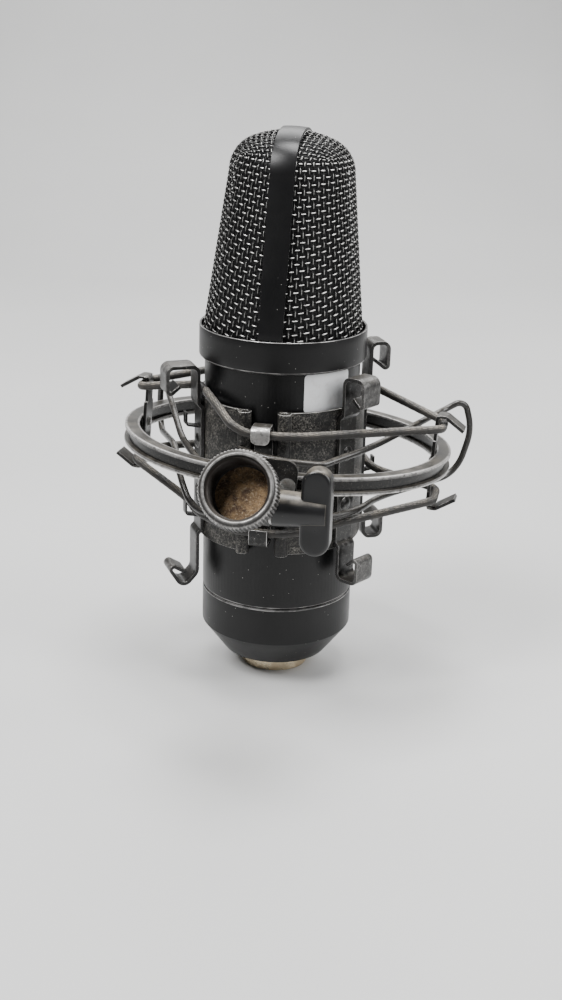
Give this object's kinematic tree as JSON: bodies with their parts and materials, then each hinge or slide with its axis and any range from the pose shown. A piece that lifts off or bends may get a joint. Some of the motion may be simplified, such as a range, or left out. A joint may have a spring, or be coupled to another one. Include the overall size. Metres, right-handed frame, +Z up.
{
  "type": "condenser microphone",
  "caption": "Studio condenser microphone with a tapered woven-wire head over a black tube, held in a spring clamp hung on braided elastic inside a ring with a tilting stand adapter",
  "frame": {"origin": "middle of the connector ring's lower face, which the microphone stands on", "axes": "+Z runs up the microphone, -Y is the front, where the stand adapter is, +X is its right as seen from the front"},
  "size_m": [0.1059, 0.1226, 0.1591],
  "materials": {
    "brass": "worn nickel-brass",
    "insert_plastic": "moulded",
    "contact": "gold flash",
    "black_enamel": "satin black, dusty",
    "label": "blank satin film",
    "wire_mesh": "blackened woven wire",
    "fine_mesh": "fine blackened mesh",
    "band": "semi-gloss black",
    "capsule_metal": "turned",
    "membrane": "gold-sputtered film",
    "saddle": "moulded",
    "steel": "zinc plated",
    "board": "laminate",
    "parts": "moulded cases",
    "core": "lacquered laminations",
    "clamp_paint": "rough black paint, worn and dusty",
    "felt": "felt",
    "strip_paint": "black paint worn to steel at the bends",
    "wire": "gloss black wire",
    "hoop_paint": "satin black, worn rims",
    "elastic": "braided elastic, dusty",
    "adapter_paint": "dark knurled, worn mouth",
    "disc": "stained and pitted",
    "knob": "moulded grey"
  },
  "bodies": {
    "mic": {"xlr_shell": "brass", "xlr_insert": "insert_plastic", "xlr_pins": "contact", "base_cone": "black_enamel", "body_tube": "black_enamel", "info_label": "label", "head_collar": "black_enamel", "grille_base_ring": "steel", "grille_mesh": "wire_mesh", "grille_liner": "fine_mesh", "grille_band": "band", "capsule_housing": "capsule_metal", "capsule_diaphragms": "membrane", "capsule_saddle": "saddle", "capsule_screws": "steel", "chassis_rails": "steel", "chassis_bottom_plate": "steel", "chassis_top_plate": "steel", "chassis_screws": "steel", "circuit_board": "board", "board_parts": "parts", "output_transformer": "core", "hinge_link": "strip_paint", "hinge_pins": "steel"},
    "clamp_left": {"clamp_shell_left": "clamp_paint", "clamp_pad_left": "felt", "strip_rivets_left": "strip_paint", "hook_strip_front_left": "strip_paint", "hook_strip_back_left": "strip_paint", "squeeze_wire_right": "wire"},
    "clamp_right": {"clamp_shell_right": "clamp_paint", "clamp_pad_right": "felt", "strip_rivets_right": "strip_paint", "hook_strip_front_right": "strip_paint", "hook_strip_back_right": "strip_paint", "squeeze_wire_left": "wire"},
    "hoop": {"hoop_ring": "hoop_paint", "hoop_hook_left": "strip_paint", "hoop_hook_right": "strip_paint", "hoop_hook_rivets": "steel", "swivel_bracket": "strip_paint", "bracket_screws": "steel", "swivel_bolt": "steel", "swivel_washers": "steel", "elastic_upper": "elastic", "elastic_lower": "elastic"},
    "adapter": {"adapter_barrel": "adapter_paint", "adapter_disc": "disc"},
    "knob": {"wing_knob": "knob"}
  },
  "joints": [
    {"name": "clamp_left_hinge", "type": "hinge", "parent": "mic", "child": "clamp_left", "pos_m": [-0.01002, -0.02219, 0.064], "axis": [0, 0, 1], "range_deg": [0, 2.8], "stiffness_Nm_per_rad": 2, "springref_deg": -1.15},
    {"name": "clamp_right_hinge", "type": "hinge", "parent": "mic", "child": "clamp_right", "pos_m": [0.00098, -0.02433, 0.064], "axis": [0, 0, 1], "range_deg": [-2.8, 0], "stiffness_Nm_per_rad": 2, "springref_deg": 1.15},
    {"name": "ring_bounce", "type": "slide", "parent": "mic", "child": "hoop", "axis": [0, 0, 1], "range_m": [-0.0025, 0.0025], "stiffness_N_per_m": 900, "deforming": ["elastic_upper", "elastic_lower"]},
    {"name": "adapter_tilt", "type": "hinge", "parent": "hoop", "child": "adapter", "pos_m": [-0.00803, -0.05666, 0.07006], "axis": [0.9848, -0.1738, -0.0011], "range_deg": [-45, 110]},
    {"name": "knob_turn", "type": "hinge", "parent": "hoop", "child": "knob", "pos_m": [-0.00803, -0.05666, 0.07006], "axis": [0.9848, -0.1738, -0.0011], "continuous": true}
  ],
  "couplings": [
    {"joint": "clamp_right_hinge", "follows": "clamp_left_hinge", "ratio": -1}
  ]
}
